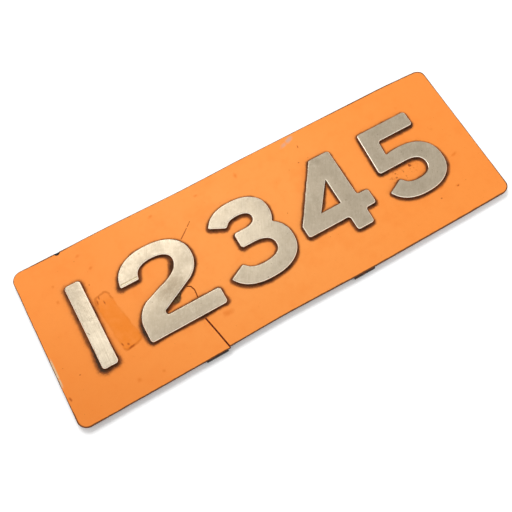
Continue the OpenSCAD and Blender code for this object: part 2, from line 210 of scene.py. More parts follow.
def grid_inside(loops, pitch):
    """Points of a staggered grid inside the outlines, clear of their edges."""
    xs = [p.x for p in loops[0]]
    ys = [p.y for p in loops[0]]
    rows = int((max(ys) - min(ys)) / pitch) + 1
    columns = int((max(xs) - min(xs)) / pitch) + 1
    cloud = [
        Vector((min(xs) + (c + 0.5 * (r % 2)) * pitch, min(ys) + (r + 0.3) * pitch))
        for r in range(rows) for c in range(columns)
    ]
    near = tree_of([p for loop in loops for p in loop])
    return [p for p in within(cloud, loops) if away_from(near, p) > 0.6 * pitch]


# Meshes


def fill(mesh, ring_verts, loops, extra, ties, height):
    """Faces across a ring of vertices, over extra points that lie at height(x, y).
    Ties are pairs of extra points with an edge between them."""
    flat = [p for loop in loops for p in loop]
    edges, at = [], 0
    for loop in loops:
        edges += [(at + k, at + (k + 1) % len(loop)) for k in range(len(loop))]
        at += len(loop)
    edges += [(at + a, at + b) for a, b in ties]
    coords, _, faces, origin, _, _ = delaunay_2d_cdt(flat + extra, edges, [], 0, 1e-5)
    made = []
    for co, old in zip(coords, origin):
        if old and old[0] < at:
            made.append(ring_verts[old[0]])
        else:
            made.append(mesh.verts.new((co.x * MM, co.y * MM, height(co.x, co.y) * MM)))
    middles = np.array([
        (sum(coords[i].x for i in f) / 3, sum(coords[i].y for i in f) / 3) for f in faces
    ])
    for face, keep in zip(faces, inside(middles, loops)):
        if keep and len({made[i] for i in face}) == 3:
            mesh.faces.new([made[i] for i in face])


def solid(name, rings, top=(), ties=(), height=None, smooth=35):
    """A closed mesh through rings of (outlines, level), the first and last of which are filled.
    Edges that bend by less than smooth degrees are shaded smooth."""
    mesh = bmesh.new()
    built = []
    for loops, level in rings:
        flat = [p for loop in loops for p in loop]
        lifts = level if hasattr(level, "__len__") else [level] * len(flat)
        built.append([mesh.verts.new((p.x * MM, p.y * MM, z * MM)) for p, z in zip(flat, lifts)])
    for low, high in zip(built, built[1:]):
        at = 0
        for loop in rings[0][0]:
            n = len(loop)
            for k in range(n):
                i, j = at + k, at + (k + 1) % n
                mesh.faces.new((low[i], low[j], high[j], high[i]))
            at += n
    first, last = rings[0], rings[-1]
    fill(mesh, built[0], first[0], [], [], lambda x, y: first[1])
    fill(mesh, built[-1], last[0], list(top), list(ties), height or (lambda x, y: last[1]))
    bmesh.ops.recalc_face_normals(mesh, faces=mesh.faces)
    for face in mesh.faces:
        face.smooth = True
    sharp = math.radians(smooth)
    for edge in mesh.edges:
        edge.smooth = len(edge.link_faces) < 2 or edge.calc_face_angle() < sharp
    data = bpy.data.meshes.new(name)
    mesh.to_mesh(data)
    mesh.free()
    piece = bpy.data.objects.new(name, data)
    bpy.context.collection.objects.link(piece)
    return piece


def lumps(x, y, size, seed):
    """Smooth noise from about -1 to 1, with features of the given size."""
    return noise.noise(Vector((x / size, y / size, seed * 7.31)))


def layered(x, y, layers, seed=0):
    """Layers of lumps on top of each other, each with its depth, size and seed."""
    return sum(depth * lumps(x, y, size, seed + more) for depth, size, more in layers)


def attribute(piece, name, value_at):
    """A number for each vertex, from its place in mm."""
    layer = piece.data.attributes.new(name, "FLOAT", "POINT")
    layer.data.foreach_set("value", [value_at(v.co / MM) for v in piece.data.vertices])


def swell(x, middle, reach):
    """A smooth hump, 1 at its middle and 0 from reach on."""
    return 0.5 + 0.5 * math.cos(math.pi * min(1, abs(x - middle) / reach))


# Shader graphs


def linear(r, g, b):
    """A colour given as it looks on a screen, from 0 to 255, as Blender takes it."""
    out = []
    for c in (r, g, b):
        c /= 255
        out.append(c / 12.92 if c <= 0.04045 else ((c + 0.055) / 1.055) ** 2.4)
    return (*out, 1.0)


class Graph:
    """Short names for the nodes of one material. Sizes are in mm, turns in degrees."""

    def __init__(self, name):
        self.material = bpy.data.materials.new(name)
        self.material.use_nodes = True
        self.tree = self.material.node_tree
        self.tree.nodes.clear()
        place = self.node("TexCoord").outputs["Object"]
        self.mm = self.vector("SCALE", place, scale=1 / MM)
        self.xyz = self.node("SeparateXYZ", {0: self.mm}).outputs
        normal = self.node("NewGeometry").outputs["Normal"]
        _, self.side_y, self.up = self.node("SeparateXYZ", {0: normal}).outputs

    def node(self, kind, inputs=None, **settings):
        made = self.tree.nodes.new("ShaderNode" + kind)
        for key, value in settings.items():
            setattr(made, key, value)
        for key, value in (inputs or {}).items():
            if isinstance(value, bpy.types.NodeSocket):
                self.tree.links.new(value, made.inputs[key])
            else:
                made.inputs[key].default_value = value
        return made

    def math(self, operation, a, b=0.0):
        return self.node("Math", {0: a, 1: b}, operation=operation).outputs[0]

    def chain(self, operation, values):
        out = values[0]
        for value in values[1:]:
            out = self.math(operation, out, value)
        return out

    def mul(self, *values):
        return self.chain("MULTIPLY", values)

    def add(self, *values):
        return self.chain("ADD", values)

    def most(self, *values):
        return self.chain("MAXIMUM", values)

    def less(self, a, b):
        return self.math("SUBTRACT", a, b)

    def absolute(self, value):
        return self.math("ABSOLUTE", value)

    def vector(self, operation, a, b=(0, 0, 0), scale=1.0):
        made = self.node("VectorMath", {0: a, 1: b}, operation=operation)
        made.inputs[3].default_value = scale
        return made.outputs[1 if operation in ("DISTANCE", "DOT_PRODUCT", "LENGTH") else 0]

    def step(self, value, low, high):
        """0 below low and 1 above high, or the other way round if low is the larger."""
        made = self.node(
            "MapRange", {0: value, 1: low, 2: high, 3: 0.0, 4: 1.0},
            interpolation_type="SMOOTHSTEP",
        )
        return made.outputs[0]

    def mix(self, share, a, b):
        """Colour a with a share of colour b over it."""
        return self.node("Mix", {0: share, 6: a, 7: b}, data_type="RGBA").outputs[2]

    def over(self, colour, share, strength, shade):
        """A colour with a screen colour over it, by a share times a strength."""
        return self.mix(self.mul(share, strength), colour, linear(*shade))

    def blend(self, share, a, b):
        """Number a with a share of number b in it."""
        return self.node("Mix", {0: share, 2: a, 3: b}, data_type="FLOAT").outputs[0]

    def attribute(self, name):
        return self.node("Attribute", attribute_name=name).outputs["Fac"]

    def noise(self, size, detail=3, rough=0.6, seed=0.0, at=None):
        """Noise from 0 to 1 with features of a size."""
        made = self.node(
            "TexNoise",
            {"Vector": at or self.mm, "Scale": 1 / size, "Detail": detail,
             "Roughness": rough, "W": seed},
            noise_dimensions="4D",
        )
        return made.outputs["Fac"]

    def shake(self, size, detail, rough, seed=0.0):
        """Noise about 0."""
        return self.less(self.noise(size, detail, rough, seed), 0.5)

    def clouds(self, size, low, high, detail=3, rough=0.6, seed=0.0):
        """1 where noise is above high and 0 where it is below low."""
        return self.step(self.noise(size, detail, rough, seed), low, high)

    def turned(self, degrees, stretch=(1, 1, 1), about=(0, 0, 0)):
        """The place, turned about the upright axis and scaled."""
        made = self.node("Mapping", {"Vector": self.mm}, vector_type="TEXTURE")
        made.inputs["Location"].default_value = about
        made.inputs["Rotation"].default_value = (0, 0, math.radians(degrees))
        made.inputs["Scale"].default_value = stretch
        return made.outputs[0]

    def streaks(self, degrees, stretch, detail=3, rough=0.6, seed=0.0):
        """Noise drawn out to turned streaks of a length and a width."""
        return self.noise(1.0, detail, rough, seed, at=self.turned(degrees, (*stretch, 1)))

    def scratches(self, degrees, stretch, low, seed):
        """1 on fine turned scratches and 0 between them; a higher low makes fewer."""
        return self.step(self.streaks(degrees, stretch, 1, 0.5, seed), low, low + 0.06)

    def specks(self, spacing, radius, share, seed):
        """1 in scattered small spots: a share of them, spacing apart, none over radius."""
        at = self.vector("ADD", self.mm, (seed * 31.7, seed * 17.3, 0))
        cells = self.node(
            "TexVoronoi", {"Vector": at, "Scale": 1 / spacing}, voronoi_dimensions="2D"
        )
        picked = self.node("SeparateXYZ", {0: cells.outputs["Color"]}).outputs
        size = self.mul(self.step(picked[0], 1 - share, 1.0), radius / spacing)
        ragged = self.mul(self.noise(radius, 2, 0.55, seed + 5), size, 1.6)
        gap = self.less(ragged, cells.outputs["Distance"])
        return self.step(gap, 0.0, 0.15 * radius / spacing)

    def spot(self, middle, half, degrees, soft, ragged, seed):
        """1 inside a turned ellipse with a ragged edge, falling to 0 over a soft share of it."""
        at = self.turned(degrees, (*half, 1), (*middle, 0))
        out = self.vector("LENGTH", self.vector("MULTIPLY", at, (1, 1, 0)))
        shake = self.shake(1.3 * min(half), 3, 0.65, seed)
        return self.step(self.add(out, self.mul(shake, 2 * ragged)), 1.0, 1.0 - soft)

    def patch(self, middle, half, degrees, soft, radius, waves, taper, seed):
        """1 inside a turned rectangle with round corners, the distance out from its edge and
        the place along it. It narrows upwards by its taper, and its edge's waves are pairs of
        a size and a depth."""
        at = self.turned(degrees, about=(*middle, 0))
        x, y, _ = self.node("SeparateXYZ", {0: at}).outputs
        wide = self.add(self.absolute(x), self.mul(y, taper))
        past_x = self.most(self.less(wide, half[0] - radius), 0.0)
        past_y = self.most(self.less(self.absolute(y), half[1] - radius), 0.0)
        past = self.node("CombineXYZ", {0: past_x, 1: past_y}).outputs[0]
        out = self.less(self.vector("LENGTH", past), radius)
        for size, depth in waves:
            out = self.add(out, self.mul(self.shake(size, 3, 0.6, seed + size), 4 * depth))
        return self.step(out, soft / 2, -soft / 2), out, y

    def line(self, a, b, width):
        """1 on a straight line between two points and 0 beyond its width."""
        run = Vector(b) - Vector(a)
        way = run.normalized()
        off = self.vector("SUBTRACT", self.mm, (*a, 0))
        off = self.vector("MULTIPLY", off, (1, 1, 0))
        along = self.vector("DOT_PRODUCT", off, (*way, 0))
        along = self.math("MINIMUM", self.most(along, 0.0), run.length)
        spine = self.node("CombineXYZ", {0: self.mul(along, way.x), 1: self.mul(along, way.y)})
        gap = self.vector("DISTANCE", off, spine.outputs[0])
        return self.step(gap, width, width * 0.4)

    def bump(self, height, depth, below=None):
        """A bump whose height of 1 stands depth mm, over the one below it."""
        inputs = {"Height": height, "Distance": depth * MM, "Strength": 1.0}
        if below is not None:
            inputs["Normal"] = below
        return self.node("Bump", inputs).outputs[0]

    def surface(self, inputs):
        shader = self.node("BsdfPrincipled", inputs)
        self.tree.links.new(shader.outputs[0], self.node("OutputMaterial").inputs[0])
        return self.material


# Materials

DULL = 0.15           # the specular level of old paint, tarnish and mastic
OVERSPRAY = 9         # how far in from its rim the board's back caught the paint

# Small dark marks on the paint and soft smudges: middle, half sizes and turn
MARKS = (
    ((-234.6, 23.7), (1.8, 5.4), -5), ((-230.6, 28), (1.2, 3.6), -8),
    ((-226.8, 19.1), (1.5, 3.6), 0), ((-223.4, -43.1), (2.4, 3.0), 20),
    ((-221, -48), (8.5, 2.0), 12), ((-230.1, -40), (1.4, 3.6), 14), ((-234, 49.5), (1.2, 1.6), 0),
    ((-313, -69), (2.0, 4.4), 15), ((-291, -48), (1.6, 1.3), 0), ((87, 66), (1.8, 1.5), 0),
    ((98.3, 87.5), (1.2, 3.6), -10), ((227, -74), (2.0, 1.5), 0), ((257.5, -69.5), (2.2, 1.4), 20),
)
SMUDGES = (
    ((-231, 92), (5, 3.5), 0), ((-223, 69), (4, 3), 30), ((-275, 70), (3, 3), 0),
    ((-278, 48), (3, 4), 0), ((-97.5, -69.7), (12, 6), 0), ((-231, -89), (5, 4), 0),
    ((-200, -94), (3, 3), 0), ((280, -28), (8, 3), 20), ((257, -69), (5, 3), 0),
    ((2, 92), (4, 6), 0), ((-58.8, 91.9), (4.5, 3), 0), ((-125, 95), (5, 3), 20),
    ((236, -60), (7, 4), 30),
)


def orange_paint():
    """Aged orange paint, with its patch, scuffs, specks, cracks and worn rim, and painted light
    and shade.
    """
    g = Graph("orange_paint")
    x, y, _ = g.xyz
    # painted light: paler towards the middle of the board, with random tone in it; painted shade:
    # deeper at its lower left; deeper in clouds
    away = g.vector("DISTANCE", g.vector("MULTIPLY", g.mm, (1, 1.3, 0)), (0, 5, 0))
    painted_light_and_tone = g.add(g.step(away, 300, 40), g.mul(g.shake(70, 3, 0.55), 0.8))
    colour = g.mix(painted_light_and_tone, linear(254, 150, 66), linear(255, 158, 76))
    # painted shade: darker towards the board's lower left
    painted_shade_low_left = g.step(g.add(x, g.mul(y, 1.2)), -240, -400)
    colour = g.over(colour, painted_shade_low_left, 0.35, (240, 133, 52))
    colour = g.over(colour, g.clouds(24, 0.45, 0.75, 4, seed=1), 0.3, (247, 134, 50))
    colour = g.over(colour, g.clouds(5, 0.45, 0.8, seed=2), 0.12, (238, 128, 50))
    # a strip where something was once stuck on
    patch, out, along = g.patch((-222.7, -8.5), (12.1, 40), 7.6, soft=2.4, radius=6.0,
                                waves=((16, 1.6), (4, 0.8)), taper=0.05, seed=3)
    strong = g.mul(g.step(along, 46, 20), g.clouds(13, 0.2, 0.6, seed=5))
    strong = g.mul(strong, g.add(0.6, g.mul(g.streaks(0, (1.8, 12), seed=25), 0.7)))
    colour = g.over(colour, patch, g.add(0.2, g.mul(strong, 0.75)), (244, 134, 38))
    ends = g.most(g.step(along, 22, 30), g.mul(g.step(along, -32, -38), 0.7), 0.18)
    outline = g.step(g.absolute(g.add(out, 0.3)), 2.6, 0.2)
    outline = g.mul(outline, ends, g.clouds(7, 0.25, 0.45, seed=29))
    colour = g.over(colour, outline, 0.6, (200, 100, 14))
    # smudges, small dark marks, specks and stains
    for places, soft, ragged, seed, strength, shade in (
        (SMUDGES, 1.0, 0.6, 40, 0.65, (232, 118, 34)),
        (MARKS, 0.8, 0.45, 60, 0.75, (168, 72, 6)),
    ):
        for count, (middle, half, turn) in enumerate(places):
            spot = g.spot(middle, half, turn, soft, ragged, seed + count)
            colour = g.over(colour, spot, strength, shade)
    colour = g.over(colour, g.specks(34, 1.1, 0.25, 1), 0.6, (190, 92, 14))
    colour = g.over(colour, g.specks(11, 0.6, 0.25, 2), 0.5, (206, 106, 24))
    colour = g.over(colour, g.clouds(13, 0.66, 0.78, seed=6), 0.25, (226, 116, 34))
    notch = g.spot((-153, -27.5), (9, 4.5), 27, soft=0.9, ragged=0.6, seed=75)
    colour = g.over(colour, notch, 0.6, (186, 84, 38))
    # dirt that was never wiped out of the last numeral's bay
    bay = g.spot((206, -12), (34, 24), 0, soft=0.8, ragged=0.4, seed=23)
    dirt = g.most(g.specks(8, 3.6, 0.6, 5), g.clouds(3.2, 0.54, 0.64, 4, 0.7, seed=24))
    colour = g.over(colour, g.mul(bay, dirt), 0.85, (140, 56, 6))
    # darker brown round the numerals, further out at the first: partly grime, partly painted shade
    # at their feet and painted shadow left of the first
    near = g.attribute("near")
    near = g.math("POWER", near, g.less(1.0, g.mul(g.step(x, -170, -230), 0.42)))
    grime_and_shade = g.step(g.add(near, g.mul(g.shake(5, 4, 0.7, seed=7), 0.7)), 0.15, 1.1)
    colour = g.over(colour, grime_and_shade, 0.85, (136, 74, 34))
    # a pale scuff at the upper edge
    scuff = g.most(
        g.spot((93, 103), (9, 5.4), 20, soft=0.9, ragged=0.6, seed=8),
        g.mul(g.spot((82, 98.6), (8, 4), 20, soft=0.9, ragged=0.6, seed=9), 0.75),
    )
    colour = g.over(colour, scuff, 0.8, (206, 170, 154))
    # fine scratches
    scratches = 0.0
    for turn, seed in ((24, 11), (-52, 12), (78, 13)):
        here = g.clouds(40, 0.5, 0.62, 2, 0.55, seed=seed + 10)
        scratches = g.add(scratches, g.mul(g.scratches(turn, (38, 0.35), 0.71, seed), here))
    colour = g.over(colour, scratches, 0.3, (255, 186, 116))
    # a hairline crack above the second numeral
    low, bend, high = HAIRLINE
    hair = g.most(g.line(low, bend, 1.0), g.line(bend, high, 0.8))
    hair = g.mul(hair, g.clouds(3, 0.3, 0.42, 2, 0.55, seed=14))
    colour = g.over(colour, hair, 0.85, (150, 66, 8))
    # a strip of the left edge that is worn to the pale undercoat
    bare = g.mul(g.step(g.absolute(g.add(y, 32)), 23, 13), g.step(x, -313.6, -314.8),
                 g.clouds(7, 0.32, 0.42, seed=26))
    colour = g.over(colour, bare, 0.85, (226, 198, 158))
    # paint worn off the rim down to the dark board, most of all in these places
    edge, high_up = g.attribute("edge"), g.step(y, 60, 100)
    upper_left = g.mul(g.step(g.absolute(g.add(x, 262)), 36, 16), high_up)
    upper_right = g.mul(g.step(x, 130, 200), high_up)
    lower = g.mul(g.step(y, -60, -100), g.add(0.12, g.mul(g.step(x, 0, 120), 0.2)))
    corner = g.spot((-308, -102), (26, 26), 0, soft=0.6, ragged=0.2, seed=28)
    worn = g.add(edge, g.mul(g.shake(9, 5, 0.7, seed=15), 0.9), lower,
                 g.mul(upper_left, 0.4), g.mul(upper_right, 0.3), g.mul(corner, 0.25))
    worn = g.mul(g.step(worn, 0.38, 0.66), g.step(edge, 0.1, 0.3))
    colour = g.over(colour, worn, 0.9, (84, 46, 24))
    # the crack's dark lips, finer and browner past the second numeral's foot
    past_foot = g.step(y, -40, -34)
    lip = g.less(g.attribute("lip"), g.mul(past_foot, 0.3))
    split = g.mix(past_foot, linear(134, 48, 2), linear(170, 78, 12))
    colour = g.mix(g.step(lip, 0.1, 0.5), colour, split)
    # the board's dark sides, with flecks of paint
    off_face = g.step(g.up, 0.93, 0.8)
    side = g.mix(g.clouds(5, 0.4, 0.62, 4, 0.65, seed=16),
                 linear(66, 38, 26), linear(112, 66, 42))
    flecks = g.mul(g.clouds(6, 0.58, 0.66, 5, 0.75, seed=17), g.step(g.up, 0.2, 0.6))
    colour = g.mix(off_face, colour, g.over(side, flecks, 0.6, (214, 120, 56)))
    # the bare back: woven laminate, with overspray near its rim
    cloth = 0.0
    for way in "XY":
        thread = g.node(
            "TexWave", {"Vector": g.mm, "Scale": 0.32, "Distortion": 0.4, "Detail": 1.0},
            wave_type="BANDS", bands_direction=way,
        )
        cloth = g.add(cloth, g.mul(thread.outputs["Fac"], 0.5))
    back = g.mix(cloth, linear(58, 40, 31), linear(74, 52, 40))
    back = g.over(back, g.clouds(30, 0.45, 0.7, 4, seed=18), 0.5, (96, 74, 60))
    spray = g.most(g.step(g.absolute(x), HALF_L - OVERSPRAY, HALF_L),
                   g.step(g.absolute(y), HALF_H - OVERSPRAY, HALF_H))
    spray = g.add(spray, g.mul(g.shake(12, 5, 0.75, seed=19), 1.2))
    back = g.over(back, g.step(spray, 0.25, 0.75), 0.8, (206, 112, 52))
    below = g.step(g.up, -0.6, -0.9)
    colour = g.mix(below, colour, back)
    # black in the chip of the upper edge
    chip = g.spot((CHIP_X, HALF_H - 0.4), (4.6, 4.4), 6, soft=0.2, ragged=0.25, seed=27)
    colour = g.mix(chip, colour, linear(20, 14, 12))

    rough = g.add(0.38, g.mul(g.noise(18, 4, seed=20), 0.22), g.mul(grime_and_shade, 0.2),
                  g.mul(scuff, 0.15), g.mul(below, 0.25), g.mul(off_face, 0.15))
    skin = g.bump(g.noise(2.2, 3, 0.5, seed=21), 0.05)
    skin = g.bump(g.noise(26, 2, 0.5, seed=22), 0.35, skin)
    skin = g.bump(g.add(scratches, g.mul(hair, 2.0), worn), -0.05, skin)
    skin = g.bump(patch, 0.06, skin)
    return g.surface({"Base Color": colour, "Roughness": rough, "Normal": skin,
                      "Specular IOR Level": DULL})


# Duller and brighter places of the metal: middle, half sizes, share and colour
TONES = (
    ((-150, -44), (68, 46), 0.5, (150, 138, 118)), ((-146, -4), (30, 28), 0.9, (142, 127, 105)),
    ((-254, 52), (26, 32), 0.7, (150, 138, 120)), ((-252, -30), (24, 56), 0.8, (218, 204, 180)),
    ((-24, 0), (60, 70), 0.65, (210, 196, 172)), ((66, 26), (16, 24), 0.3, (206, 194, 172)),
    ((106, 54), (10, 7), 0.4, (140, 128, 108)),
)


def numeral_metal():
    """Satin metal, scratched and stained, on dark sides, with a painted highlight and painted
    shade on its bevel.
    """
    g = Graph("numeral_metal")
    x, y, _ = g.xyz
    tone = g.noise(20, 4, seed=30)
    colour = g.mix(g.step(tone, 0.35, 0.68), linear(184, 170, 148), linear(170, 157, 136))
    for count, (middle, half, share, shade) in enumerate(TONES):
        colour = g.over(colour, g.spot(middle, half, 0, 0.8, 0.3, 90 + count), share, shade)
    # blotches, stains, flecks, specks and a nick in the first numeral
    colour = g.over(colour, g.clouds(9, 0.5, 0.68, 5, 0.7, seed=31), 0.3, (200, 188, 168))
    stain = g.clouds(15, 0.55, 0.7, 5, 0.72, seed=32)
    colour = g.over(colour, stain, 0.3, (144, 131, 108))
    fleck = g.noise(3.6, 4, 0.7, seed=44)
    colour = g.over(colour, g.step(fleck, 0.52, 0.66), 0.16, (218, 206, 184))
    colour = g.over(colour, g.step(fleck, 0.46, 0.32), 0.26, (138, 124, 102))
    colour = g.over(colour, g.specks(13, 0.9, 0.4, 3), 0.6, (90, 76, 60))
    nick = g.spot((-260.2, -8.8), (0.9, 3.2), 30, soft=0.6, ragged=0.6, seed=45)
    colour = g.over(colour, nick, 0.7, (96, 84, 72))
    # the two's end, ground down below a thin dull line
    on_tip = g.mul(g.step(x, RIDGE_X[0] - 2, RIDGE_X[0]), g.step(y, 10, 12),
                   g.step(x, RIDGE_X[1] + 2, RIDGE_X[1]))
    ground = g.mul(on_tip, g.step(y, RIDGE_Y, RIDGE_Y - 0.8))
    colour = g.over(colour, ground, 0.8, (232, 218, 186))
    ridge = g.mul(g.step(g.absolute(g.add(y, 0.3 - RIDGE_Y)), 0.9, 0.3), on_tip)
    colour = g.over(colour, ridge, 0.75, (132, 114, 74))
    # scratches, and brush marks that run across the numerals but along the first
    scratches = 0.0
    for turn, low, seed in ((35, 0.66, 33), (-20, 0.68, 34), (80, 0.68, 35), (8, 0.68, 36)):
        scratches = g.add(scratches, g.scratches(turn, (30, 0.25), low, seed))
    across = g.streaks(62, (18, 0.45), seed=37)
    lengthways = g.streaks(88, (22, 0.9), seed=47)
    brush = g.blend(g.step(x, -234, -238), across, lengthways)
    colour = g.over(colour, scratches, 0.35, (212, 200, 180))
    colour = g.over(colour, g.step(brush, 0.3, 0.75), 0.4, (146, 131, 110))
    rubbed = g.mul(g.attribute("rub"), g.clouds(8, 0.35, 0.6, 4, seed=38))
    colour = g.over(colour, rubbed, 0.35, (206, 194, 174))
    # the bevel is rubbed bright and carries a painted highlight; where it looks up the plate it is
    # darkened as painted shade
    bevel = g.mul(g.step(g.up, 0.995, 0.95), g.step(g.up, 0.25, 0.45))
    painted_shade_upwards = g.add(g.side_y, g.mul(g.shake(11, 4, 0.7, seed=39), 0.9))
    painted_shade_upwards = g.step(painted_shade_upwards, 0.12, 0.4)
    rub_and_highlight = g.clouds(16, 0.3, 0.46, 4, 0.7, seed=43)
    edge = g.mix(rub_and_highlight, linear(210, 195, 170), linear(252, 243, 224))
    colour = g.mix(bevel, colour, g.mix(painted_shade_upwards, edge, linear(128, 98, 72)))
    # the sides are stained brown
    side = g.step(g.up, 0.45, 0.25)
    brown = g.mix(g.clouds(6, 0.45, 0.65, 5, 0.7, seed=40),
                  linear(104, 58, 28), linear(146, 92, 58))
    colour = g.mix(side, colour, brown)
    # the stained sides and the bevel's painted shade are dull and hardly metallic
    dirt_and_shade = g.most(side, g.mul(bevel, painted_shade_upwards))

    metal = g.blend(dirt_and_shade, 1.0, 0.1)
    rough = g.add(0.33, g.mul(g.less(tone, 0.5), 0.25), g.mul(stain, 0.08),
                  g.mul(scratches, -0.05), g.mul(brush, 0.06), g.mul(dirt_and_shade, 0.25))
    skin = g.bump(g.noise(17, 3, 0.5, seed=41), 0.3)
    skin = g.bump(g.add(scratches, g.mul(brush, 0.7)), -0.012, skin)
    skin = g.bump(g.noise(1.6, seed=42), 0.015, skin)
    return g.surface({"Base Color": colour, "Metallic": metal, "Roughness": rough,
                      "Normal": skin, "Specular IOR Level": DULL})


# Where the mastic is darkest, partly painted shadow at the lower left of the first two numerals,
# and where
# it has a lump: middle and half sizes
DARK_MASTIC_AND_SHADOW = (((-272, -44), (16, 36)), ((-203, -46), (9, 24)))
THICK_LUMP = ((-144, -21), (11, 7))


def mastic():
    """Old mastic, dark against the metal, browner and thinner further out, with painted shadow in
    its darkest places.
    """
    g = Graph("mastic")
    out = g.add(g.attribute("out"), g.mul(g.shake(4, 4, 0.65, seed=50), 0.8))
    core = g.mix(g.clouds(16, 0.4, 0.6, seed=56), linear(72, 42, 22), linear(116, 66, 34))
    # darker mastic with painted shadow at the lower left of the first two numerals
    for count, (middle, half) in enumerate(DARK_MASTIC_AND_SHADOW):
        core = g.mix(g.spot(middle, half, 0, 0.4, 0.3, 57 + count), core, linear(66, 46, 32))
    colour = g.mix(g.step(out, 0.45, 1.0), core, linear(160, 90, 44))
    colour = g.over(colour, g.clouds(2, 0.56, 0.7, 4, 0.7, seed=51), 0.4, (140, 82, 42))
    olive = g.mix(g.clouds(3, 0.42, 0.58, 4, 0.7, seed=59),
                  linear(64, 44, 26), linear(112, 88, 56))
    lump = g.spot(*THICK_LUMP, 35, soft=0.5, ragged=0.3, seed=55)
    colour = g.mix(g.mul(lump, 0.85), colour, olive)
    rough = g.add(0.55, g.mul(g.noise(3, 3, 0.55, seed=52), 0.3))
    skin = g.bump(g.noise(1.4, 4, 0.65, seed=53), 0.3)
    skin = g.bump(g.noise(5, seed=54), 0.5, skin)
    return g.surface({"Base Color": colour, "Roughness": rough, "Normal": skin,
                      "Specular IOR Level": DULL})


def black_strap():
    """Black paint on flat steel, rusty where it is worn."""
    g = Graph("black_strap")
    steep = g.absolute(g.up)
    paint = g.mix(g.noise(12, 4, seed=60), linear(30, 27, 26), linear(44, 39, 37))
    ends = g.step(g.absolute(g.xyz[1]), 100, 110.6)
    bevels = g.mul(g.step(steep, 0.98, 0.9), g.step(steep, 0.1, 0.3))
    wear = g.add(g.noise(7, 6, 0.72, seed=61), g.mul(ends, 0.06), g.mul(bevels, 0.16))
    wear = g.step(wear, 0.6, 0.66)
    rust = g.mix(g.noise(2.5, 5, 0.7, seed=62), linear(92, 50, 28), linear(134, 84, 52))
    colour = g.mix(wear, paint, rust)
    colour = g.over(colour, g.specks(5, 0.7, 0.5, 4), 0.8, (120, 72, 44))
    dust = g.clouds(22, 0.5, 0.75, 5, 0.65, seed=63)
    colour = g.over(colour, dust, 0.25, (110, 98, 88))
    rough = g.add(0.42, g.mul(wear, 0.35), g.mul(dust, 0.15))
    skin = g.bump(g.noise(1.6, 4, seed=64), 0.06)
    skin = g.bump(wear, -0.08, skin)
    return g.surface({"Base Color": colour, "Roughness": rough, "Normal": skin})


def plated(name, light, dark, stain, seed):
    """Plated or phosphated steel with turning marks and stains."""
    g = Graph(name)
    colour = g.mix(g.clouds(2.4, 0.35, 0.65, 4, seed=seed), linear(*light), linear(*dark))
    old = g.clouds(4.5, 0.52, 0.66, 5, 0.7, seed=seed + 1)
    colour = g.over(colour, old, 0.7, stain)
    fine = g.noise(0.35, seed=seed + 2)
    rough = g.add(0.34, g.mul(old, 0.3), g.mul(fine, 0.12))
    skin = g.bump(fine, 0.01)
    skin = g.bump(g.noise(1.1, seed=seed + 3), 0.03, skin)
    metal = g.blend(old, 1.0, 0.55)
    return g.surface({"Base Color": colour, "Metallic": metal, "Roughness": rough,
                      "Normal": skin})


# The board


def sag(x, humps):
    return sum(depth * swell(x, middle, reach) for depth, middle, reach in humps)


def edge_shift(x, y, chip_depth):
    """How far the board's worn long edges stand in from straight ones."""
    shake = layered(x, y, EDGE_LUMPS)
    if y > 0:
        bite = max(0.0, 1 - ((x - CHIP_X) / (CHIP_W / 2)) ** 2)
        return max(-MOST_OUT, sag(x, UPPER_SAGS) + shake) + chip_depth * math.sqrt(bite)
    past_crack = sag(x, SAGS_PAST_CRACK) if x > CRACK[0][0] else 0.0
    return LOWER_SAG + sag(x, LOWER_SAGS) + past_crack + shake


def share_of(reached, half):
    """1 on a straight edge, falling to 0 at the far end of its corners."""
    t = min(1, max(0, (reached - half + CORNER) / CORNER))
    return t * t * (3 - 2 * t)


def board_outline(chip_depth):
    """The board's outline, with the crack as a narrow notch in its lower edge."""
    mouth = CRACK[0][0]
    line = [Vector((mouth + CRACK_MOUTH / 2, -HALF_H))]

    def run(to):
        start = line[-1]
        n = max(1, round((to - start).length / BOARD_STEP))
        line.extend(start.lerp(to, (k + 1) / n) for k in range(n))

    for sx, sy, start in ((1, -1, -90), (1, 1, 0), (-1, 1, 90), (-1, -1, 180)):
        middle = Vector((sx * (HALF_L - CORNER), sy * (HALF_H - CORNER)))
        bend = [
            middle + CORNER * Vector((math.cos(math.radians(t)), math.sin(math.radians(t))))
            for t in range(start, start + 91, 5)
        ]
        run(bend[0])
        line.extend(bend[1:])
    run(Vector((mouth - CRACK_MOUTH / 2, -HALF_H)))
    out = []
    for p in line:
        down = edge_shift(p.x, p.y, chip_depth) * share_of(abs(p.y), HALF_H)
        aside = (END_SAG + layered(p.x, p.y, END_LUMPS)) * share_of(abs(p.x), HALF_L)
        out.append(p - Vector((math.copysign(aside, p.x), math.copysign(down, p.y))))
    return out + crack_sides()


def crack_sides():
    """Up one side of the crack and down the other, without its mouth's two corners."""
    path = [Vector(p) for p in CRACK]
    spine = []
    for a, b in zip(path, path[1:]):
        n = max(1, round((b - a).length / BOARD_STEP))
        spine += [a.lerp(b, k / n) for k in range(n)]
    spine.append(path[-1])
    left, right = [], []
    last = len(spine) - 1
    for k, p in enumerate(spine):
        along = (spine[min(k + 1, last)] - spine[max(k - 1, 0)]).normalized()
        across = Vector((-along.y, along.x))
        w = CRACK_MOUTH + (CRACK_TIP - CRACK_MOUTH) * k / last
        wander = layered(p.x, p.y, CRACK_LUMPS) * min(1, k / 3)
        left.append(p + across * (w / 2 + wander))
        right.append(p - across * (w / 2 - wander))
    return left[1:] + right[:0:-1]


def to_crack(p):
    """The nearest place on the crack's middle line."""
    places = []
    for a, b in zip(map(Vector, CRACK), map(Vector, CRACK[1:])):
        t = (p - a).dot(b - a) / (b - a).length_squared
        places.append(a.lerp(b, min(1, max(0, t))))
    return min(places, key=lambda q: (q - p).length)


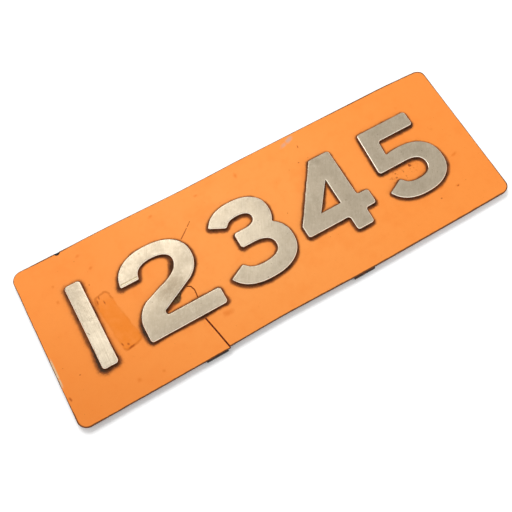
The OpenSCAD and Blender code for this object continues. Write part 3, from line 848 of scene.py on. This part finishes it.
def add_board(skirts):
    """The board, with a finer mesh at its edge and at the mastic's outer outlines, the skirts."""
    outline = board_outline(CHIP_DEPTH)
    whole = board_outline(0.0)
    middles = [to_crack(p) for p in outline]
    lips = [(p - q).length < CRACK_MOUTH for p, q in zip(outline, middles)]
    # further down, the crack is shut and the chip has ended
    shut = [q.lerp(p, 0.1) if lip else p for p, q, lip in zip(whole, middles, lips)]
    rings = [([inset(shut, inwards)], level) for inwards, level in RIM_BELOW]
    rings += [([inset(outline, inwards)], level) for inwards, level in RIM_ABOVE]
    face = rings[-1][0][0]
    grid = grid_inside([face], BOARD_GRID)
    for distance in RIM_ROWS:
        grid += inset(face, distance)[::2]
    for skirt in skirts:
        for distance in MASTIC_ROWS:
            grid += inset(skirt, -distance)[::2]
    board = solid("board", rings, within(grid, [face]))
    rim = tree_of([p for p, lip in zip(outline, lips) if not lip])
    beads = tree_of([p for skirt in skirts for p in skirt])
    # where paint wears off the rim, where grime and painted shade lie at the mastic and where the
    # crack's lips are
    attribute(board, "edge", lambda p: max(0.0, 1 - away_from(rim, p) / EDGE_REACH))
    attribute(board, "near", lambda p: math.exp(-away_from(beads, p) / GRIME_AND_SHADE_REACH))
    attribute(board, "lip", lambda p: LIP_REACH - (p.xy - to_crack(p.xy)).length)
    return board


# Numerals

SUNK = 0.03           # how far the dressed face lies below the CAD's
FOOT_BEVEL = 0.3
BEVEL_R = 1.25        # the radius of the worn round edge of a numeral's face

# That edge's section: pairs of how far in and how far down
BEVEL = [
    (BEVEL_R * (1 - math.cos(t)), SUNK + BEVEL_R * (1 - math.sin(t)))
    for t in map(math.radians, (0, 25, 50, 72, 90))
] + [(1.7 * BEVEL_R, SUNK)]


def ground_off(x, y):
    """How far the two's end is ground down at a place."""
    on_tip = RIDGE_X[0] < x < RIDGE_X[1] and y > 0
    return max(0.0, RIDGE_Y - y) * RIDGE_SLOPE if on_tip else 0.0


def face_height(x, y):
    return NUMERAL_FACE - SUNK - ground_off(x, y)


def add_numeral(word):
    node = "numeral_" + word
    loops = [refined(l, NUMERAL_STEP) for l in outlines(node, NUMERAL_FACE)]
    rings = [([inset(l, FOOT_BEVEL) for l in loops], NUMERAL_FOOT),
             (loops, NUMERAL_FOOT + FOOT_BEVEL)]
    for inwards, drop in BEVEL:
        moved = [inset(l, inwards) for l in loops]
        level = [NUMERAL_FACE - drop - ground_off(p.x, p.y) for l in moved for p in l]
        rings.append((moved, level))
    face = rings[-1][0]
    extra, ties = grid_inside(face, NUMERAL_GRID), []
    if word == "two":
        # a row of tied points along the ridge in place of those on the slope
        extra = [p for p in extra if not ground_off(p.x, p.y)]
        run = within([Vector((x, RIDGE_Y)) for x in np.arange(*RIDGE_X, RIDGE_STEP)], face)
        ties = [(len(extra) + k, len(extra) + k + 1) for k in range(len(run) - 1)]
        extra += run
    piece = solid(node + "_dressed", rings, extra, ties, face_height, smooth=12)
    sides = tree_of([p for l in loops for p in l])
    attribute(piece, "rub", lambda p: math.exp(-away_from(sides, p) / RUB_REACH))
    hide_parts(node)
    return piece, loops


# Beads of mastic

# How wide the mastic shows, how much that changes with the way that it faces (to the left on
# the left half of the plate, to the right on its right half), how much less shows above and how
# much more below the third to the fifth numeral. The lean and the width below put dark mastic
# where shadow falls: it is partly painted shadow
BEAD_W, BEAD_SHADOW_LEAN, BEAD_UP, BEAD_SHADOW_DOWN = 2.7, 0.8, 0.9, 1.3
BEAD_LEAST, BEAD_H = 0.6, 1.3
LEAN_TURNS_X, LEAN_REACH = 55, 160
# How uneven its width and height are: layers of lumps, each with its depth, size and seed
WIDTH_LUMPS = ((1.1, 20, 0), (0.6, 6, 20))
HEIGHT_LUMPS = ((0.5, 11, 40), (0.3, 4, 60))
# Places where more or less of it came out, and, left of and below the first numeral, where it is
# widened as painted shadow: the middle, how far it reaches and how much wider
EXTRA_MASTIC_AND_SHADOW = (
    ((-149, -18), 12, 6.0), ((-285, -8), 44, 1.6), ((-280, -52), 36, 5.0), ((-252, -70), 22, 4.5),
    ((-236, -54), 14, 3.0), ((-208, -42), 30, 3.0), ((-88, -57), 12, 3.6), ((-112, -68), 16, -0.8),
    ((-92, 8), 34, 2.0), ((-150, 34), 18, -2.0), ((-132, 20), 22, 4.4), ((-188, 14), 20, 4.0),
    ((-170, -5), 16, -1.4), ((-140, -48), 30, 0.5), ((-170, 29), 11, 3.4), ((-203, 24), 12, 1.8),
    ((-93, 36), 22, 1.8), ((-160, -28), 9, 2.6), ((262, -30), 22, 1.0),
)
# The bead's section: pairs of a share of its width and of its height
BEAD_SECTION = ((1.0, 0.02), (0.8, 0.2), (0.5, 0.45), (0.25, 0.75), (0.02, 1.0))
ABOVE_PAINT = 0.02
UNDER_NUMERAL = 0.8
# A width is cut by steps, to about the least, while no more than this share of it is free
CUT_TO, CUT_STEP, FREE_SHARE = 0.3, 0.85, 0.9


def free_widths(loop, widths, near):
    """The widths of a border outside an outline, cut where the border would meet itself."""
    out = []
    for k, w in enumerate(widths):
        a = (loop[k] - loop[k - 1]).normalized()
        b = (loop[(k + 1) % len(loop)] - loop[k]).normalized()
        away = Vector((a.y + b.y, -a.x - b.x)).normalized()
        while w > CUT_TO and away_from(near, loop[k] + away * w) <= FREE_SHARE * w:
            w *= CUT_STEP
        out.append(w)
    n = len(out)
    for _ in range(3):
        out = [min(out[k], (out[k - 1] + out[k] + out[(k + 1) % n]) / 3) for k in range(n)]
    return out


def bead_width(p, along, word, seed):
    """How wide the mastic shows at a place of a numeral's outline, which runs along there."""
    # wider on the sides where shadow falls, as painted shadow
    w = BEAD_W + BEAD_SHADOW_LEAN * along.y * (p.x - LEAN_TURNS_X) / LEAN_REACH
    w -= BEAD_UP * max(0.0, -along.x)
    if word in COUNTS[2:]:
        w += BEAD_SHADOW_DOWN * max(0.0, along.x)
    w += layered(p.x, p.y, WIDTH_LUMPS, seed)
    w += sum(more * swell((p - Vector(at)).length, 0, reach) for at, reach, more in EXTRA_MASTIC_AND_SHADOW)
    return max(BEAD_LEAST, w)


def add_bead(word, loops, seed):
    """Mastic squeezed out round a numeral, uneven in width and height, and widened as painted
    shadow in places.
    """
    near = tree_of([p for l in loops for p in l])
    widths, heights = [], []
    for loop in loops:
        n = len(loop)
        ways = [(loop[(k + 1) % n] - loop[k - 1]).normalized() for k in range(n)]
        wanted = [bead_width(p, way, word, seed) for p, way in zip(loop, ways)]
        widths.append(free_widths(loop, wanted, near))
        heights += [BEAD_H + layered(p.x, p.y, HEIGHT_LUMPS, seed) for p in loop]

    def moved_out(share):
        return [inset(l, [-w * share for w in ws]) for l, ws in zip(loops, widths)]

    rings = [(moved_out(1.0), BOARD_FACE)]
    for share, lift in BEAD_SECTION:
        rings.append((moved_out(share), [BOARD_FACE + ABOVE_PAINT + lift * h for h in heights]))
    rings.append(([inset(l, UNDER_NUMERAL) for l in loops], NUMERAL_FOOT))
    piece = solid("bead_" + word, rings, smooth=60)
    outer = tree_of([p for l in rings[0][0] for p in l])

    def share_out(p):
        a, b = away_from(near, p), away_from(outer, p)
        return a / (a + b + 0.01)

    attribute(piece, "out", share_out)
    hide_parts("bedding_" + word)
    return piece, rings[0][0]


# Build

metal, gum = numeral_metal(), mastic()
dressed, skirts = [], []
for count, word in enumerate(COUNTS):
    numeral, loops = add_numeral(word)
    bead, outer = add_bead(word, loops, count + 1)
    numeral.data.materials.append(metal)
    bead.data.materials.append(gum)
    dressed += [numeral, bead]
    skirts += outer

board = add_board(skirts)
board.data.materials.append(orange_paint())
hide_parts("face_panel")
for piece in [*dressed, board]:
    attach(piece, "root")

strap_paint = black_strap()
zinc = plated("zinc", (176, 170, 158), (142, 135, 124), (112, 82, 56), 70)
phosphate = plated("phosphate", (92, 86, 80), (66, 61, 57), (94, 60, 40), 80)


def dress(prefix, material, bevel):
    """Gives CAD nodes a material and slightly rounded edges."""
    for name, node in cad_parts.items():
        if name.startswith(prefix):
            for place in node.material_slots:
                place.material = material
            soft = node.modifiers.new("edges", "BEVEL")
            soft.width = bevel * MM
            soft.segments = 2
            soft.limit_method = "ANGLE"
            soft.angle_limit = math.radians(40)


dress("strap_left", strap_paint, 0.5)
dress("strap_right", strap_paint, 0.5)
dress("screws_", zinc, 0.12)
dress("strap_screws_", zinc, 0.1)
dress("washers_", zinc, 0.12)
dress("spring_washers_", phosphate, 0.12)


# Studio

FLOOR_WHITE = 0.93
FLOOR_LIFT = 0.33     # what the floor adds for the camera and for reflections
# Near the plate the floor's lift fades, a painted contact shadow
CONTACT = 16          # how near the plate, in mm, it adds less than that
SKY_LEVEL = 0.42      # what the white surroundings give as light
# In metres
FLOOR_HALF, FLOOR_LEVEL = 4.0, -0.0002
CAMERA_AT = Vector((-0.1480, -0.2184, 0.7294))
LOOKS_AT = Vector((-0.0300, -0.0217, 0.0100))
CLIP_START, CLIP_END = 0.01, 50
# In mm and degrees
LENS, SENSOR = 40.95, 36.0
ROLL = 30.86


def add_floor():
    g = Graph("studio_floor")
    base = g.node("BsdfDiffuse", {"Color": (FLOOR_WHITE, FLOOR_WHITE, FLOOR_WHITE, 1.0)})
    seen = g.node("LightPath").outputs
    seen = g.most(seen["Is Camera Ray"], seen["Is Glossy Ray"], seen["Is Transmission Ray"])
    # painted contact shadow: less of the floor's lift near the plate
    lift_outside_painted_shadow = g.node("AmbientOcclusion", {"Distance": CONTACT * MM}).outputs["AO"]
    strength = g.mul(seen, lift_outside_painted_shadow, FLOOR_LIFT)
    lift = g.node("Emission", {"Color": (1, 1, 1, 1), "Strength": strength})
    both = g.node("AddShader", {0: base.outputs[0], 1: lift.outputs[0]})
    g.tree.links.new(both.outputs[0], g.node("OutputMaterial").inputs[0])
    data = bpy.data.meshes.new("floor")
    corners = ((-1, -1), (1, -1), (1, 1), (-1, 1))
    data.from_pydata(
        [(x * FLOOR_HALF, y * FLOOR_HALF, FLOOR_LEVEL) for x, y in corners], [], [(0, 1, 2, 3)]
    )
    floor = bpy.data.objects.new("floor", data)
    bpy.context.collection.objects.link(floor)
    data.materials.append(g.material)


def add_lamp(name, at, aim, size, watts, mirrored):
    """A flat lamp, with its place, aim and size in metres. Glossy surfaces may mirror it."""
    data = bpy.data.lights.new(name, "AREA")
    data.shape = "RECTANGLE"
    data.size, data.size_y = size
    data.energy = watts
    lamp = bpy.data.objects.new(name, data)
    bpy.context.collection.objects.link(lamp)
    lamp.location = at
    lamp.rotation_mode = "QUATERNION"
    lamp.rotation_quaternion = (Vector(aim) - Vector(at)).to_track_quat("-Z", "Y")
    lamp.visible_glossy = mirrored


def add_world():
    """Surroundings that look white, to the camera and in reflections, but give less light."""
    world = bpy.data.worlds.new("studio")
    bpy.context.scene.world = world
    world.use_nodes = True
    tree = world.node_tree
    tree.nodes.clear()
    path = tree.nodes.new("ShaderNodeLightPath")
    seen = path.outputs["Is Camera Ray"]
    for ray in ("Is Glossy Ray", "Is Transmission Ray"):
        either = tree.nodes.new("ShaderNodeMath")
        either.operation = "MAXIMUM"
        tree.links.new(seen, either.inputs[0])
        tree.links.new(path.outputs[ray], either.inputs[1])
        seen = either.outputs[0]
    strength = tree.nodes.new("ShaderNodeMapRange")
    strength.inputs[3].default_value = SKY_LEVEL
    strength.inputs[4].default_value = 1.0
    tree.links.new(seen, strength.inputs[0])
    sky = tree.nodes.new("ShaderNodeBackground")
    sky.inputs[0].default_value = (1, 1, 1, 1)
    tree.links.new(strength.outputs[0], sky.inputs[1])
    tree.links.new(sky.outputs[0], tree.nodes.new("ShaderNodeOutputWorld").inputs[0])


def add_camera():
    data = bpy.data.cameras.new("camera")
    data.lens, data.sensor_width = LENS, SENSOR
    data.clip_start, data.clip_end = CLIP_START, CLIP_END
    ahead = (LOOKS_AT - CAMERA_AT).normalized()
    level = ahead.cross(Vector((0, 1, 0))).normalized()
    upright = level.cross(ahead)
    cos, sin = math.cos(math.radians(ROLL)), math.sin(math.radians(ROLL))
    right = cos * level - sin * upright
    up = sin * level + cos * upright
    camera = bpy.data.objects.new("camera", data)
    bpy.context.collection.objects.link(camera)
    turn = Matrix((right, up, -ahead)).transposed()
    camera.matrix_world = Matrix.Translation(CAMERA_AT) @ turn.to_4x4()
    bpy.context.scene.camera = camera


add_floor()
add_world()
add_lamp("soft_box", (-0.17, 0.68, 1.0), (-0.05, 0.0, 0.0), (0.75, 0.65), 4.4, mirrored=True)
add_lamp("key", (0.05, 0.66, 1.27), (0.0, 0.0, 0.0), (0.5, 0.5), 7.7, mirrored=False)
add_lamp("side_box", (0.55, -0.45, 0.35), (0.25, -0.1, 0.0), (0.25, 0.25), 0.7, mirrored=False)
add_camera()
bpy.context.scene.view_settings.view_transform = "Standard"

bpy.context.view_layer.update()
